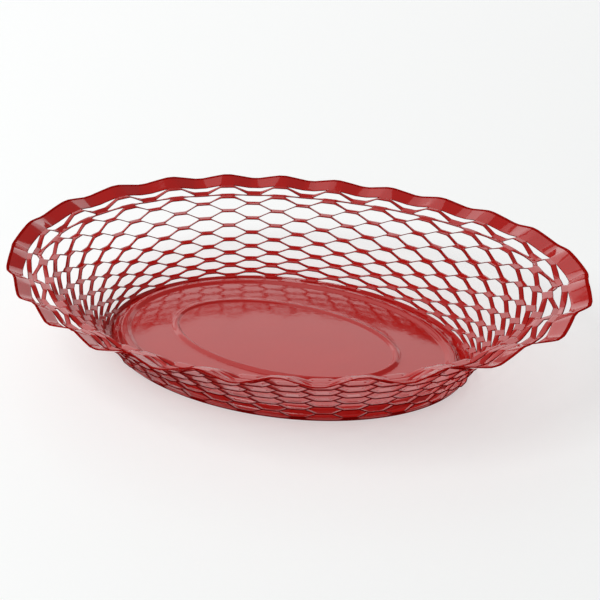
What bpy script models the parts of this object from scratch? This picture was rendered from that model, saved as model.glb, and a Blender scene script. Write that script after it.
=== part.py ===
"""Oval egg basket, slit and drawn from one disc of enamelled tinplate.

The blank is cut with concentric rows of staggered slits and then drawn down into a bowl. Each
annular strip of metal between two rows of slits becomes a zigzag strand that is joined to its
neighbours at short bonds, and the slits open into hexagons. The solids follow the slit lines: a
base pan, fourteen strand rings and the fluted rim flange, which stand a hair's breadth apart at the
bonds.

Units are metres, +Z is up, and the origin is under the centre of the rim, at the level of the foot.
+X is along the long axis.
"""

import math

import bmesh
import bpy

# Sheet and slit pattern
SHEET = 0.0006            # tinplate with its enamel
COLUMNS = 24              # cells around each row
SLIT_ROWS = 15            # row 1 is just under the flange, row 15 is at the base
RIM_STRAND_WIDTH = 0.0030 # width of the metal between rows 1 and 2
STRAND_TAPER = 0.00005    # by which each strand is narrower than the one above it
BOND_SHARE = 0.25         # part of a column's pitch that stays joined in each row
BOND_GAP = 0.0001         # clearance between two solids across a bond
COLUMN_CROWDING = 0.014   # radians by which the columns crowd towards the long axis

# Oval of the base, along the last row of slits
BASE_HALF_X = 0.1184
BASE_HALF_Y = 0.0864
BASE_CENTRE_X = -0.00445  # the bowl flares more at the +X end, so the base is off the rim's centre
END_FLARE = 0.078         # how much more the wall spreads at +X than at the sides

# Wall, by row number counted up from the base: outward offset and height of the slit line
SPREAD_LINEAR = 0.000987
SPREAD_SQUARE = 0.0002975
SPREAD_CUBE = -0.0000101
LIP_HEIGHT = 0.00278
RISE_LINEAR = 0.003425
RISE_SQUARE = 0.0000363
RIM_ROW_SHIFTS = ((0.0022, -0.0043), (0.0027, -0.0055))   # rows 1 and 2, pulled out and held down
SADDLE = 0.0023           # rim height gained at the ends of the long axis and lost at the sides
END_REACH = 0.0022        # extra outward reach of the rim at the ends of the long axis
END_REACH_START = 0.042   # offset at which that reach begins

# Tilt of the bonds from horizontal, outer edge up, degrees
RIM_OUTER_TILTS = (33.0, 35.0, 12.0)   # rows 1 to 3, on the rim's side of the row
RIM_INNER_TILTS = (10.0, -1.0, 20.0)  # rows 1 to 3, on the base's side of the row
WALL_BOND_TILT = 2.0                  # row 4
WALL_TILT_LINEAR = 1.2                # times the rows below row 4
WALL_TILT_SQUARE = 0.1                # times their square

# Rim flange: offset and height of its outer edge at the crests and in the troughs
CREST_OFFSET = 0.05545
CREST_HEIGHT = 0.05923
TROUGH_OFFSET = 0.05769
TROUGH_HEIGHT = 0.05587
TROUGH_INNER_OFFSET = 0.0486
TROUGH_INNER_HEIGHT = 0.0512

# Base pan, as offsets from the base oval and heights of the sheet's middle surface
FOOT_OUTER = -0.0010
FOOT_INNER = -0.0062
FOOT_HEIGHT = SHEET / 2
RIDGE_OUTER = -0.0086
RIDGE_INNER = -0.0118
RIDGE_HEIGHT = 0.0040
FLOOR_EDGE = -0.0146
FLOOR_HEIGHT = 0.0027
BEAD_OFFSET = -0.0436     # middle of the oval bead pressed in the floor
BEAD_HALF_WIDTH = 0.0036
BEAD_RISE = 0.0011

LIP_AIM_HEIGHT = 0.00556  # height on the base oval that the lip's free edge points away from

SHARP_ANGLE = 30.0        # degrees between faces from which an edge is shaded sharp
ENAMEL_RED = (0.42, 0.012, 0.010, 1.0)
ENAMEL_ROUGHNESS = 0.16


def enamel(name):
    """Red enamel on tinplate, one material for each sub-part."""
    material = bpy.data.materials.new(name)
    material.use_nodes = True
    shader = material.node_tree.nodes["Principled BSDF"]
    shader.inputs["Base Color"].default_value = ENAMEL_RED
    shader.inputs["Roughness"].default_value = ENAMEL_ROUGHNESS
    shader.inputs["Metallic"].default_value = 0.0
    return material


def column_angle(column):
    """Angle on the base oval of a column, counted from the +X axis."""
    phase = 2.0 * math.pi * column / COLUMNS
    return phase + COLUMN_CROWDING * math.sin(2.0 * phase)


def wall_point(angle, offset, height):
    """Point of the wall at an angle: the base oval, moved out along its normal and up."""
    normal_x = math.cos(angle) / BASE_HALF_X
    normal_y = math.sin(angle) / BASE_HALF_Y
    length = math.hypot(normal_x, normal_y)
    share = max(0.0, (height - LIP_HEIGHT) / (CREST_HEIGHT - LIP_HEIGHT))
    spread = offset
    if offset > 0.0:
        spread = offset * (1.0 + END_FLARE * math.cos(angle))
    if offset > END_REACH_START:
        rim_share = (offset - END_REACH_START) / (TROUGH_OFFSET - END_REACH_START)
        spread += END_REACH * rim_share * math.cos(angle) ** 4
    x = BASE_CENTRE_X + BASE_HALF_X * math.cos(angle) + spread * normal_x / length
    y = BASE_HALF_Y * math.sin(angle) + spread * normal_y / length
    z = height + SADDLE * share * math.cos(2.0 * angle)
    return (x, y, z)


def slit_line(row):
    """Outward offset and height of a row of slits."""
    up = SLIT_ROWS - row
    offset = SPREAD_LINEAR * up + SPREAD_SQUARE * up ** 2 + SPREAD_CUBE * up ** 3
    height = LIP_HEIGHT + RISE_LINEAR * up + RISE_SQUARE * up ** 2
    if row <= len(RIM_ROW_SHIFTS):
        shift = RIM_ROW_SHIFTS[row - 1]
        offset += shift[0]
        height += shift[1]
    return offset, height


def strand_width(number):
    """Width of a strand, narrower towards the base."""
    return RIM_STRAND_WIDTH - STRAND_TAPER * (number - 1)


def bond_tilt(row, rim_tilts):
    """Tilt of one side of a row's bonds, in radians; the rows under the rim have their own."""
    if row <= len(rim_tilts):
        return math.radians(rim_tilts[row - 1])
    down = row - len(rim_tilts) - 1
    return math.radians(WALL_BOND_TILT + WALL_TILT_LINEAR * down + WALL_TILT_SQUARE * down ** 2)


def edge_pair(row, reach):
    """Two points through the sheet, at a distance outward across a row's bond, mitred at the bond."""
    offset, height = slit_line(row)
    outer_tilt = bond_tilt(row, RIM_OUTER_TILTS)
    inner_tilt = bond_tilt(row, RIM_INNER_TILTS)
    tilt = outer_tilt if reach > 0.0 else inner_tilt
    middle_offset = offset + reach * math.cos(tilt)
    middle_height = height + reach * math.sin(tilt)
    if abs(reach) <= BOND_GAP:
        tilt = (outer_tilt + inner_tilt) / 2
    half = SHEET / 2
    upper = (middle_offset - half * math.sin(tilt), middle_height + half * math.cos(tilt))
    lower = (middle_offset + half * math.sin(tilt), middle_height - half * math.cos(tilt))
    return upper, lower


def thicken(inner, outer, half):
    """Section of a flat strip from an inner to an outer edge, both offset and height pairs."""
    run = outer[0] - inner[0]
    rise = outer[1] - inner[1]
    length = math.hypot(run, rise)
    shift = (-half * rise / length, half * run / length)
    upper = [(inner[0] + shift[0], inner[1] + shift[1]), (outer[0] + shift[0], outer[1] + shift[1])]
    lower = [(inner[0] - shift[0], inner[1] - shift[1]), (outer[0] - shift[0], outer[1] - shift[1])]
    return upper, lower


def stations():
    """Angles around the wall, two at the ends of each bond, with the column family they lie on.

    Family 0 holds the bonds of the odd rows and the rim's crests, family 1 those of the even rows
    and the rim's troughs.
    """
    result = []
    for half_column in range(2 * COLUMNS):
        for side in (-1, 1):
            column = half_column / 2 + side * BOND_SHARE / 2
            result.append((column_angle(column), half_column % 2))
    return result


def add_object(name, mesh_builder):
    """Link one named object whose mesh a function fills."""
    bm = bmesh.new()
    mesh_builder(bm)
    bmesh.ops.recalc_face_normals(bm, faces=bm.faces)
    mesh = bpy.data.meshes.new(name)
    bm.to_mesh(mesh)
    bm.free()
    mesh.materials.append(enamel(name + "_enamel"))
    mesh.shade_smooth()
    mesh.set_sharp_from_angle(angle=math.radians(SHARP_ANGLE))
    item = bpy.data.objects.new(name, mesh)
    bpy.context.collection.objects.link(item)
    return item


def bridge(bm, first, second):
    """Triangles between two closed loops of one length, always split along one diagonal."""
    count = len(first)
    for index in range(count):
        following = (index + 1) % count
        bm.faces.new((first[index], first[following], second[index]))
        bm.faces.new((first[following], second[following], second[index]))


def closed_band(bm, sections):
    """Solid ring through one section at each station; a section is a closed list of points."""
    rows = []
    for angle, section in sections:
        rows.append([bm.verts.new(wall_point(angle, *point)) for point in section])
    loops = [list(loop) for loop in zip(*rows)]
    for index, loop in enumerate(loops):
        bridge(bm, loop, loops[(index + 1) % len(loops)])


def strand_ring(bm, number):
    """Zigzag strand between the slits of one row and the next."""
    width = strand_width(number)
    sections = []
    for angle, family in stations():
        if family == (number + 1) % 2:
            outer = edge_pair(number, -BOND_GAP / 2)
            inner = edge_pair(number, -width)
        else:
            outer = edge_pair(number + 1, width)
            inner = edge_pair(number + 1, BOND_GAP / 2)
        section = [outer[0], outer[1], inner[1], inner[0]]
        sections.append((angle, section))
    closed_band(bm, sections)


def rim_flange(bm):
    """Fluted rim, joined to the first strand at its crests."""
    sections = []
    for angle, family in stations():
        if family == 0:
            joint_upper, joint_lower = edge_pair(1, BOND_GAP / 2)
            inner = slit_line(1)
            upper, lower = thicken(inner, (CREST_OFFSET, CREST_HEIGHT), SHEET / 2)
            section = [upper[1], lower[1], joint_lower, joint_upper]
        else:
            inner = (TROUGH_INNER_OFFSET, TROUGH_INNER_HEIGHT)
            upper, lower = thicken(inner, (TROUGH_OFFSET, TROUGH_HEIGHT), SHEET / 2)
            section = [upper[1], lower[1], lower[0], upper[0]]
        sections.append((angle, section))
    closed_band(bm, sections)


def pan_profile():
    """Middle line of the pan inside its lip, from the foot to the floor inside the bead."""
    bead_top = FLOOR_HEIGHT + BEAD_RISE
    return [
        (FOOT_OUTER, FOOT_HEIGHT),
        (FOOT_INNER, FOOT_HEIGHT),
        (RIDGE_OUTER, RIDGE_HEIGHT),
        (RIDGE_INNER, RIDGE_HEIGHT),
        (FLOOR_EDGE, FLOOR_HEIGHT),
        (BEAD_OFFSET + BEAD_HALF_WIDTH, FLOOR_HEIGHT),
        (BEAD_OFFSET, bead_top),
        (BEAD_OFFSET - BEAD_HALF_WIDTH, FLOOR_HEIGHT),
    ]


def pan_point(angle, offset, height):
    """Point of the pan: its ovals keep the same distance along both axes."""
    x = BASE_CENTRE_X + (BASE_HALF_X + offset) * math.cos(angle)
    y = (BASE_HALF_Y + offset) * math.sin(angle)
    return (x, y, height)


def base_pan(bm):
    """Foot, ridge, floor and bead, and the lip that carries the last row of slits."""
    profile = pan_profile()
    half = SHEET / 2
    upper_loops = [[] for _ in range(len(profile) + 1)]
    lower_loops = [[] for _ in range(len(profile) + 1)]
    for angle, family in stations():
        lip_upper, lip_lower = edge_pair(SLIT_ROWS, -BOND_GAP / 2)
        if family == 1:
            upper, lower = thicken(slit_line(SLIT_ROWS), (half, LIP_AIM_HEIGHT), half)
            lip_upper, lip_lower = upper[0], lower[0]
        upper_loops[0].append(bm.verts.new(wall_point(angle, *lip_upper)))
        lower_loops[0].append(bm.verts.new(wall_point(angle, *lip_lower)))
        for index, (offset, height) in enumerate(profile):
            outside = half if index == 0 else 0.0
            upper_place = pan_point(angle, offset - outside, height + half)
            lower_place = pan_point(angle, offset + outside, height - half)
            upper_loops[index + 1].append(bm.verts.new(upper_place))
            lower_loops[index + 1].append(bm.verts.new(lower_place))
    bridge(bm, lower_loops[0], upper_loops[0])
    for loops in (upper_loops, lower_loops):
        for first, second in zip(loops, loops[1:]):
            bridge(bm, first, second)
        bm.faces.new(loops[-1])


def main():
    """Build the base pan, the strand rings from the rim down, and the flange."""
    for item in list(bpy.data.objects):
        bpy.data.objects.remove(item, do_unlink=True)
    add_object("base_pan", base_pan)
    for number in range(1, SLIT_ROWS):
        add_object(f"strand_ring_{number:02d}", lambda bm, number=number: strand_ring(bm, number))
    add_object("rim_flange", rim_flange)


main()
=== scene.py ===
"""Looks of the oval egg basket: one sheet of red enamelled tinplate, slit and drawn into a mesh bowl.

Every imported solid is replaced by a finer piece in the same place. The pieces butt together at the
bonds, so the finished basket reads as the one sheet that it is. Units are metres, +Z is up.
"""

import math

import bmesh
import bpy
from mathutils import Matrix
from mathutils import Vector


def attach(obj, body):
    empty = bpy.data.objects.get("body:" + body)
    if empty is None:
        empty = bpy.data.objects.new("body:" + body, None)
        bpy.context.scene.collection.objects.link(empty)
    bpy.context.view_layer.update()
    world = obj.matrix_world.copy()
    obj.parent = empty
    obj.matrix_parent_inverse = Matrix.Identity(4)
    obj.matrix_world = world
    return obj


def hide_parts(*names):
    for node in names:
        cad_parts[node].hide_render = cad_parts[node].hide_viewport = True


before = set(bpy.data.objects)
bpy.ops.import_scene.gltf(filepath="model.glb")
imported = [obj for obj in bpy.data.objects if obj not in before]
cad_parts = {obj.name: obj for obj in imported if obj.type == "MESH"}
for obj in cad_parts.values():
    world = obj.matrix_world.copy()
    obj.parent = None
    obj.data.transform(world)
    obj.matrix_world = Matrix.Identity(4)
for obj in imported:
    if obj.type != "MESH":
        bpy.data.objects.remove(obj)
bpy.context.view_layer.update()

# Sheet and slit pattern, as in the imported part
SHEET = 0.0006
COLUMNS = 24
SLIT_ROWS = 15
RIM_STRAND_WIDTH = 0.0030
STRAND_TAPER = 0.00005
BOND_SHARE = 0.25
COLUMN_CROWDING = 0.014
BASE_HALF_X = 0.1184
BASE_HALF_Y = 0.0864
BASE_CENTRE_X = -0.00445
END_FLARE = 0.078
SPREAD_LINEAR = 0.000987
SPREAD_SQUARE = 0.0002975
SPREAD_CUBE = -0.0000101
LIP_HEIGHT = 0.00278
RISE_LINEAR = 0.003425
RISE_SQUARE = 0.0000363
RIM_ROW_SHIFTS = ((0.0022, -0.0043), (0.0027, -0.0055))
SADDLE = 0.0023
END_REACH = 0.0022
END_REACH_START = 0.042
RIM_OUTER_TILTS = (33.0, 35.0, 12.0)
RIM_INNER_TILTS = (10.0, -1.0, 20.0)
WALL_BOND_TILT = 2.0
WALL_TILT_LINEAR = 1.2
WALL_TILT_SQUARE = 0.1
CREST_OFFSET = 0.05545
CREST_HEIGHT = 0.05923
TROUGH_OFFSET = 0.05769
TROUGH_HEIGHT = 0.05587
TROUGH_INNER_OFFSET = 0.0486
TROUGH_INNER_HEIGHT = 0.0512
FOOT_OUTER = -0.0010
FOOT_INNER = -0.0062
FOOT_HEIGHT = SHEET / 2
RIDGE_OUTER = -0.0086
RIDGE_INNER = -0.0118
RIDGE_HEIGHT = 0.0040
FLOOR_EDGE = -0.0146
FLOOR_HEIGHT = 0.0027
BEAD_OFFSET = -0.0436
BEAD_HALF_WIDTH = 0.0036
BEAD_RISE = 0.0011

# Finish of the sheet
BEAD_STEEPNESS = 1.8      # how much steeper the bead is on its inner side
FOLD_LENGTH = 0.05        # length of a soft fold, in column pitches
STRAND_TWIST = 12.0       # degrees that a strand turns between its bonds, inner edge up
HALF = SHEET / 2
ROUND_STEPS = 4           # segments across a rounded cut edge
FLANGE_STEPS = 6          # segments across the flange
BORDER_WIDTH = 0.0018     # darker line along the rim's edge: painted shade of the turned-down edge, partly thicker enamel
FREE_EDGE_SOFTNESS = 0.01 # pitches over which a bonded edge becomes a rounded free one
FLUTE_START = 0.06        # pitches from a crest at which the rim's edge starts down
FLUTE_END = 0.44
FLUTE_SOFTNESS = 0.04
INNER_FLUTE_END = 0.40
LIP_FREE_TILT = 68.0      # degrees, of the lip away from its bonds
LIP_TILT_LENGTH = 0.1     # pitches over which it takes that tilt
LIP_STRIP = 0.0012        # width of the lip's straight strip under its edge
PAN_SOFTNESS = 0.0012     # rounding of the pan's corners
PAN_FINE_STEP = 0.0004    # step of the pan's middle line over ridge and bead
PAN_COARSE_STEP = 0.0030
FOOT_PAINTED_SHADE_FACES = 4          # faces around the outside of the foot that get the dark edge finish as painted contact shade
SMOOTH_ANGLE = 50.0       # degrees, above which a corner stays sharp


# ---------------------------------------------------------------- shape of the sheet

def soft_ramp(value, start, end, soft):
    """0 before start, 1 after end, straight between, with both corners rounded over a length."""
    def area(x):
        if x <= start:
            return 0.0
        if x >= end:
            return (end - start) / 2 + (x - end)
        return (x - start) ** 2 / (2 * (end - start))
    return (area(value + soft / 2) - area(value - soft / 2)) / soft


def column_angle(column):
    """Angle on the base oval of a column, counted from the +X axis."""
    phase = 2.0 * math.pi * column / COLUMNS
    return phase + COLUMN_CROWDING * math.sin(2.0 * phase)


def wall_point(angle, offset, height):
    """Point of the wall at an angle: the base oval, moved out along its normal and up."""
    normal_x = math.cos(angle) / BASE_HALF_X
    normal_y = math.sin(angle) / BASE_HALF_Y
    length = math.hypot(normal_x, normal_y)
    share = max(0.0, (height - LIP_HEIGHT) / (CREST_HEIGHT - LIP_HEIGHT))
    spread = offset
    if offset > 0.0:
        spread = offset * (1.0 + END_FLARE * math.cos(angle))
    if offset > END_REACH_START:
        rim_share = (offset - END_REACH_START) / (TROUGH_OFFSET - END_REACH_START)
        spread += END_REACH * rim_share * math.cos(angle) ** 4
    x = BASE_CENTRE_X + BASE_HALF_X * math.cos(angle) + spread * normal_x / length
    y = BASE_HALF_Y * math.sin(angle) + spread * normal_y / length
    z = height + SADDLE * share * math.cos(2.0 * angle)
    return (x, y, z)


def slit_line(row):
    """Outward offset and height of a row of slits."""
    up = SLIT_ROWS - row
    offset = SPREAD_LINEAR * up + SPREAD_SQUARE * up ** 2 + SPREAD_CUBE * up ** 3
    height = LIP_HEIGHT + RISE_LINEAR * up + RISE_SQUARE * up ** 2
    if row <= len(RIM_ROW_SHIFTS):
        shift = RIM_ROW_SHIFTS[row - 1]
        offset += shift[0]
        height += shift[1]
    return Vector((offset, height))


def strand_width(number):
    """Width of a strand, narrower towards the base."""
    return RIM_STRAND_WIDTH - STRAND_TAPER * (number - 1)


def bond_tilt(row, rim_tilts):
    """Tilt of one side of a row's bonds, in radians; the rows under the rim have their own."""
    if row <= len(rim_tilts):
        return math.radians(rim_tilts[row - 1])
    down = row - len(rim_tilts) - 1
    return math.radians(WALL_BOND_TILT + WALL_TILT_LINEAR * down + WALL_TILT_SQUARE * down ** 2)


def direction(tilt):
    """Unit vector in the offset and height plane."""
    return Vector((math.cos(tilt), math.sin(tilt)))


def across(vector):
    """The vector turned a quarter turn, towards the sheet's upper side."""
    return Vector((-vector.y, vector.x))


def stations():
    """Columns around the wall at which sections are cut, close together where the sheet folds."""
    fold = FOLD_LENGTH
    steps = [0.0, FLUTE_START]
    steps += [BOND_SHARE / 2 + fold * share for share in (-0.5, -0.25, 0.0, 0.25, 0.5)]
    steps += [0.20, 0.25]
    columns = set()
    for half_column in range(2 * COLUMNS):
        centre = half_column / 2
        for step in steps:
            columns.add(round((centre + step) % COLUMNS, 6))
            columns.add(round((centre - step) % COLUMNS, 6))
    return sorted(columns)


def reach(column, family):
    """Distance in pitches from the nearest column of a family: 0 whole columns, 1 half columns."""
    place = column - family / 2
    return abs(place - round(place))


def freed(distance, bond_end):
    """0 where an edge is bonded, 1 where it is free, changing over the fold at the bond's end."""
    before = bond_end - FOLD_LENGTH / 2
    after = bond_end + FOLD_LENGTH / 2
    return soft_ramp(distance, before, after, FREE_EDGE_SOFTNESS)


# ---------------------------------------------------------------- mesh helpers

def edge_points(edge, outward, up, roundness):
    """Points down a cut edge, from the upper to the lower face: flat at 0, half round at 1."""
    points = []
    for step in range(ROUND_STEPS + 1):
        turn = math.pi / 2 - math.pi * step / ROUND_STEPS
        inset = roundness * HALF * (1.0 - math.cos(turn))
        points.append(edge - outward * inset + up * (HALF * math.sin(turn)))
    return points


def mitre(row):
    """Direction through the sheet at a row's bond, halfway between its two sides."""
    outer_side = direction(bond_tilt(row, RIM_OUTER_TILTS))
    inner_side = direction(bond_tilt(row, RIM_INNER_TILTS))
    return across((outer_side + inner_side).normalized())


def ribbon_section(inner, outer, inner_round, outer_round, inner_mitre, outer_mitre):
    """Closed section of a flat ribbon: round at its free edges, mitred where it is joined."""
    outward = (outer - inner).normalized()
    up = across(outward)
    outer_up = outer_mitre.lerp(up, outer_round)
    inner_up = inner_mitre.lerp(up, inner_round)
    section = edge_points(outer, outward, outer_up, outer_round)
    section.append((inner + outer) / 2 - up * HALF)
    section += list(reversed(edge_points(inner, -outward, inner_up, inner_round)))
    section.append((inner + outer) / 2 + up * HALF)
    return section


def make_piece(name, bm, sharp_angle):
    """Link one mesh object, smooth except at its sharp corners."""
    bmesh.ops.recalc_face_normals(bm, faces=bm.faces)
    mesh = bpy.data.meshes.new(name)
    bm.to_mesh(mesh)
    bm.free()
    mesh.shade_smooth()
    mesh.set_sharp_from_angle(angle=math.radians(sharp_angle))
    piece = bpy.data.objects.new(name, mesh)
    bpy.context.scene.collection.objects.link(piece)
    return piece


def closed_band(bm, rings, edge_faces, painted_shade_border_faces=()):
    """Closed tube of faces through rings of points, with the darker edge and border finishes (partly
    painted shade) on numbered faces.
    """
    rows = [[bm.verts.new(point) for point in ring] for ring in rings]
    count = len(rows[0])
    for first, second in zip(rows, rows[1:] + rows[:1]):
        for index in range(count):
            following = (index + 1) % count
            corners = (first[index], second[index], second[following], first[following])
            face = bm.faces.new(corners)
            if index in edge_faces:
                face.material_index = 1
            elif index in painted_shade_border_faces:
                face.material_index = 2


# ---------------------------------------------------------------- pieces

def strand_section(number, column):
    """Section of a strand at a column: tied above, tied below, or sloping between the two."""
    upper_family = (number + 1) % 2
    distance = reach(column, upper_family)
    start = BOND_SHARE / 2
    end = 0.5 - start
    share = soft_ramp(distance, start, end, FOLD_LENGTH)
    upper_tilt = bond_tilt(number, RIM_INNER_TILTS)
    lower_tilt = bond_tilt(number + 1, RIM_OUTER_TILTS)
    half_width = strand_width(number) / 2
    upper_middle = slit_line(number) - direction(upper_tilt) * half_width
    lower_middle = slit_line(number + 1) + direction(lower_tilt) * half_width
    middle = upper_middle.lerp(lower_middle, share)
    turned = 1.0 - abs(2.0 * share - 1.0) ** 4
    tilt = upper_tilt + (lower_tilt - upper_tilt) * share - math.radians(STRAND_TWIST) * turned
    aim = direction(tilt)
    inner = middle - aim * half_width
    outer = middle + aim * half_width
    outer_round = freed(distance, start)
    inner_round = 1.0 - freed(distance, end)
    return ribbon_section(inner, outer, inner_round, outer_round, mitre(number + 1), mitre(number))


def strand_skin(number):
    """One zigzag strand between two rows of slits."""
    bm = bmesh.new()
    rings = []
    for column in stations():
        angle = column_angle(column)
        section = strand_section(number, column)
        rings.append([wall_point(angle, point.x, point.y) for point in section])
    # The faces round both cut edges take the darker finish, partly thicker enamel and partly painted
    # shade.
    inner_start = ROUND_STEPS + 2
    edge_faces = set(range(ROUND_STEPS)) | set(range(inner_start, inner_start + ROUND_STEPS))
    closed_band(bm, rings, edge_faces)
    return make_piece(f"strand_{number:02d}_enamelled", bm, SMOOTH_ANGLE)


def flange_section(column):
    """Section of the fluted rim at a column."""
    distance = reach(column, 0)
    start = BOND_SHARE / 2
    inner_share = soft_ramp(distance, start, INNER_FLUTE_END, FOLD_LENGTH)
    outer_share = soft_ramp(distance, FLUTE_START, FLUTE_END, FLUTE_SOFTNESS)
    crest_inner = slit_line(1)
    trough_inner = Vector((TROUGH_INNER_OFFSET, TROUGH_INNER_HEIGHT))
    inner = crest_inner.lerp(trough_inner, inner_share)
    crest = Vector((CREST_OFFSET, CREST_HEIGHT))
    trough = Vector((TROUGH_OFFSET, TROUGH_HEIGHT))
    outer = crest.lerp(trough, outer_share)
    outward = (outer - inner).normalized()
    up = across(outward)
    inner_round = freed(distance, start)
    upper = []
    lower = []
    for step in range(1, FLANGE_STEPS):
        place = inner.lerp(outer, step / FLANGE_STEPS)
        upper.append(place + up * HALF)
        lower.append(place - up * HALF)
    border = outer - outward * BORDER_WIDTH
    upper.append(border + up * HALF)
    lower.append(border - up * HALF)
    section = edge_points(outer, outward, up, 1.0)
    section += list(reversed(lower))
    inner_up = mitre(1).lerp(up, inner_round)
    section += list(reversed(edge_points(inner, -outward, inner_up, inner_round)))
    section += upper
    return section


def flange_skin():
    """The fluted rim."""
    bm = bmesh.new()
    rings = []
    for column in stations():
        angle = column_angle(column)
        rings.append([wall_point(angle, point.x, point.y) for point in flange_section(column)])
    # The inner cut edge's faces take the darker finish, partly thicker enamel and partly painted
    # shade.
    inner_start = ROUND_STEPS + FLANGE_STEPS + 1
    edge_faces = range(inner_start, inner_start + ROUND_STEPS)
    # The faces round the rim's outer edge take the darker border finish, partly painted shade.
    painted_shade_border_faces = list(range(ROUND_STEPS + 1)) + [len(rings[0]) - 1]
    closed_band(bm, rings, edge_faces, painted_shade_border_faces)
    return make_piece("rim_flange_enamelled", bm, SMOOTH_ANGLE)


def pan_height(offset):
    """Height of the pan's middle surface inside the foot, by offset from the base oval."""
    soft = PAN_SOFTNESS
    inward = -offset
    height = FOOT_HEIGHT
    height += (RIDGE_HEIGHT - FOOT_HEIGHT) * soft_ramp(inward, -FOOT_INNER, -RIDGE_OUTER, soft)
    height += (FLOOR_HEIGHT - RIDGE_HEIGHT) * soft_ramp(inward, -RIDGE_INNER, -FLOOR_EDGE, soft)
    across_bead = (offset - BEAD_OFFSET) / BEAD_HALF_WIDTH
    if across_bead < 0.0:
        across_bead *= -BEAD_STEEPNESS
    if across_bead < 1.0:
        height += BEAD_RISE * (0.5 + 0.5 * math.cos(math.pi * across_bead))
    return height


def pan_profile():
    """Middle line of the pan from the foot's outer corner inwards."""
    points = []
    offset = FOOT_OUTER - 2.0 * PAN_FINE_STEP
    while offset > BEAD_OFFSET - BEAD_HALF_WIDTH - PAN_FINE_STEP:
        points.append(Vector((offset, pan_height(offset))))
        near_ridge = offset > FLOOR_EDGE - PAN_SOFTNESS
        near_bead = abs(offset - BEAD_OFFSET) < BEAD_HALF_WIDTH + PAN_SOFTNESS
        offset -= PAN_FINE_STEP if near_ridge or near_bead else PAN_COARSE_STEP
    return points


def pan_point(angle, offset, height):
    """Point of the pan: its ovals keep the same distance along both axes."""
    x = BASE_CENTRE_X + (BASE_HALF_X + offset) * math.cos(angle)
    y = (BASE_HALF_Y + offset) * math.sin(angle)
    return (x, y, height)


def pan_skin():
    """Foot, ridge, floor and bead, and the lip that carries the last row of slits."""
    bm = bmesh.new()
    inner_profile = pan_profile()
    lip_base = Vector((FOOT_OUTER, FOOT_HEIGHT + 0.0006))
    corner = Vector((FOOT_OUTER - 0.0003, FOOT_HEIGHT + 0.0001))
    rings = []
    for column in stations():
        angle = column_angle(column)
        distance = reach(column, 0)
        bond_end = BOND_SHARE / 2
        away = soft_ramp(distance, bond_end, bond_end + LIP_TILT_LENGTH, FOLD_LENGTH)
        top = slit_line(SLIT_ROWS)
        tilt = bond_tilt(SLIT_ROWS, RIM_INNER_TILTS) * (1.0 - away)
        tilt += math.radians(LIP_FREE_TILT) * away
        aim = direction(tilt)
        top_round = freed(distance, bond_end)
        edge = edge_points(top, aim, across(aim), top_round)
        second = top - aim * LIP_STRIP
        middle = [second, lip_base, corner] + inner_profile
        upper = []
        lower = []
        for index, point in enumerate(middle):
            before = middle[index - 1] if index > 0 else top
            after = middle[index + 1] if index + 1 < len(middle) else point + (point - before)
            up = across((before - after).normalized())
            upper.append(point + up * HALF)
            lower.append(point - up * HALF)
        upper_places = []
        lower_places = []
        for places, points in ((upper_places, upper), (lower_places, lower)):
            for index, point in enumerate(points):
                if index == 0:
                    places.append(wall_point(angle, point.x, point.y))
                else:
                    places.append(pan_point(angle, point.x, point.y))
        edge_places = [wall_point(angle, point.x, point.y) for point in edge]
        rings.append(list(reversed(upper_places)) + edge_places + lower_places)
    rows = [[bm.verts.new(point) for point in ring] for ring in rings]
    count = len(rows[0])
    # The outside of the foot gets the dark edge finish as painted contact shade.
    foot_painted_shade_start = count - len(middle)
    foot_painted_shade_faces = range(foot_painted_shade_start, foot_painted_shade_start + FOOT_PAINTED_SHADE_FACES)
    for first, second in zip(rows, rows[1:] + rows[:1]):
        for index in range(count - 1):
            corners = (first[index], second[index], second[index + 1], first[index + 1])
            bm.faces.new(corners).material_index = 1 if index in foot_painted_shade_faces else 0
    bm.faces.new([row[0] for row in rows])
    bm.faces.new([row[-1] for row in rows])
    return make_piece("base_pan_enamelled", bm, SMOOTH_ANGLE)


# ---------------------------------------------------------------- materials

def enamel(name, dark_red, light_red):
    """Glossy enamel mottled between two reds, with a faint orange peel."""
    material = bpy.data.materials.new(name)
    material.use_nodes = True
    nodes = material.node_tree.nodes
    links = material.node_tree.links
    shader = nodes["Principled BSDF"]
    shader.inputs["Metallic"].default_value = 0.0
    shader.inputs["IOR"].default_value = 1.52
    place = nodes.new("ShaderNodeTexCoord")
    mottle = nodes.new("ShaderNodeTexNoise")
    mottle.inputs["Scale"].default_value = 38.0
    mottle.inputs["Detail"].default_value = 3.0
    links.new(place.outputs["Object"], mottle.inputs["Vector"])
    tint = nodes.new("ShaderNodeMix")
    tint.data_type = "RGBA"
    tint.inputs["A"].default_value = dark_red
    tint.inputs["B"].default_value = light_red
    links.new(mottle.outputs["Fac"], tint.inputs["Factor"])
    links.new(tint.outputs["Result"], shader.inputs["Base Color"])
    gloss = nodes.new("ShaderNodeMapRange")
    gloss.inputs["To Min"].default_value = 0.055
    gloss.inputs["To Max"].default_value = 0.11
    links.new(mottle.outputs["Fac"], gloss.inputs["Value"])
    links.new(gloss.outputs["Result"], shader.inputs["Roughness"])
    peel = nodes.new("ShaderNodeTexNoise")
    peel.inputs["Scale"].default_value = 260.0
    peel.inputs["Detail"].default_value = 2.0
    links.new(place.outputs["Object"], peel.inputs["Vector"])
    bump = nodes.new("ShaderNodeBump")
    bump.inputs["Strength"].default_value = 0.12
    bump.inputs["Distance"].default_value = 0.0004
    links.new(peel.outputs["Fac"], bump.inputs["Height"])
    links.new(bump.outputs["Normal"], shader.inputs["Normal"])
    return material


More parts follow.
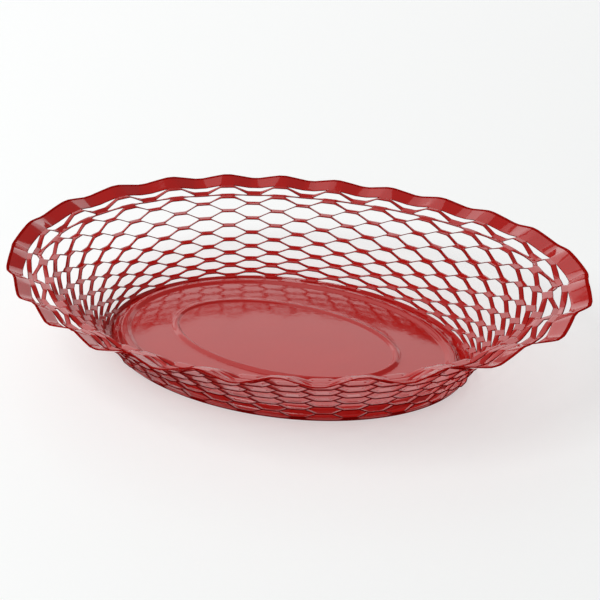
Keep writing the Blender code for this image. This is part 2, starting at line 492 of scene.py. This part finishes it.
def floor_material():
    """Matt pale floor with a little light of its own."""
    material = bpy.data.materials.new("pale_sweep")
    material.use_nodes = True
    shader = material.node_tree.nodes["Principled BSDF"]
    shader.inputs["Base Color"].default_value = (0.47, 0.485, 0.48, 1.0)
    shader.inputs["Roughness"].default_value = 0.6
    shader.inputs["Emission Color"].default_value = (1.0, 1.0, 1.0, 1.0)
    shader.inputs["Emission Strength"].default_value = 0.53
    return material


# ---------------------------------------------------------------- studio

def make_floor():
    """Pale floor, wide enough to fill the view."""
    bm = bmesh.new()
    size = 4.0
    corners = [(-size, -size), (size, -size), (size, size), (-size, size)]
    bm.faces.new([bm.verts.new((x, y, 0.0)) for x, y in corners])
    floor = make_piece("floor", bm, 30.0)
    floor.data.materials.append(floor_material())


def area_light(name, place, target, size, power):
    """Square soft light aimed at a point."""
    data = bpy.data.lights.new(name, "AREA")
    data.shape = "RECTANGLE"
    data.size = size[0]
    data.size_y = size[1]
    data.energy = power
    light = bpy.data.objects.new(name, data)
    light.location = place
    light.rotation_euler = (Vector(target) - Vector(place)).to_track_quat("-Z", "Y").to_euler()
    bpy.context.scene.collection.objects.link(light)
    return light


def make_lights():
    """Bright surroundings and large soft lights."""
    world = bpy.data.worlds.new("studio")
    world.use_nodes = True
    background = world.node_tree.nodes["Background"]
    background.inputs["Color"].default_value = (1.0, 1.0, 1.0, 1.0)
    background.inputs["Strength"].default_value = 0.25
    bpy.context.scene.world = world
    area_light("key_light", (-1.25, 0.10, 1.25), (0, 0, 0), (1.8, 1.8), 8.5)
    area_light("front_fill", (-0.34, -1.12, 1.38), (0, 0, 0), (0.9, 0.9), 15.0)
    area_light("back_panel", (-1.4, 2.2, 0.95), (0, 0, 0.1), (4.5, 1.5), 22.0)


def make_camera():
    """Camera at the viewing angle: its azimuth, elevation and roll, looking at a point."""
    azimuth = math.radians(32.283)
    elevation = math.radians(24.786)
    roll = math.radians(-1.052)
    target = Vector((0.00860, 0.0, 0.03092))
    distance = 0.64367
    back = Vector((
        math.sin(azimuth) * math.cos(elevation),
        -math.cos(azimuth) * math.cos(elevation),
        math.sin(elevation),
    ))
    right = Vector((0.0, 0.0, 1.0)).cross(back).normalized()
    up = back.cross(right)
    rolled_right = right * math.cos(roll) + up * math.sin(roll)
    rolled_up = up * math.cos(roll) - right * math.sin(roll)
    turn = Matrix((rolled_right, rolled_up, back)).transposed().to_4x4()
    data = bpy.data.cameras.new("camera")
    data.sensor_width = 36.0
    data.lens = 64.71
    camera = bpy.data.objects.new("camera", data)
    camera.matrix_world = Matrix.Translation(target + back * distance) @ turn
    bpy.context.scene.collection.objects.link(camera)
    bpy.context.scene.camera = camera


def main():
    """Build the pieces, dress them and set up the studio."""
    make_camera()
    make_floor()
    make_lights()
    bpy.context.scene.view_settings.view_transform = "Standard"
    red = enamel("red_enamel", (0.46, 0.0060, 0.0045, 1.0), (0.53, 0.0090, 0.0060, 1.0))
    # Cut edges and the outside of the foot: darker red, partly thicker enamel and partly painted
    # shade.
    edge = enamel("edge_enamel_and_painted_shade", (0.16, 0.0015, 0.0015, 1.0), (0.24, 0.0025, 0.0025, 1.0))
    # Rim's border: darker red, partly thicker enamel and partly painted shade of the turned-down
    # edge.
    border = enamel("border_enamel_and_painted_shade", (0.30, 0.0040, 0.0030, 1.0), (0.36, 0.0060, 0.0040, 1.0))
    # The two darker finishes lose their reflection, which is part of their painted shade.
    for painted_shade_finish in (edge, border):
        shader = painted_shade_finish.node_tree.nodes["Principled BSDF"]
        shader.inputs["Specular IOR Level"].default_value = 0.0
    pieces = [(pan_skin(), "base_pan", "pan"), (flange_skin(), "rim_flange", "flange")]
    for number in range(1, SLIT_ROWS):
        pieces.append((strand_skin(number), f"strand_ring_{number:02d}", "strands"))
    for piece, node, slot in pieces:
        piece.data.materials.append(red)
        piece.data.materials.append(edge)
        if node == "rim_flange":
            piece.data.materials.append(border)
        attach(piece, "root")
        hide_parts(node)


main()
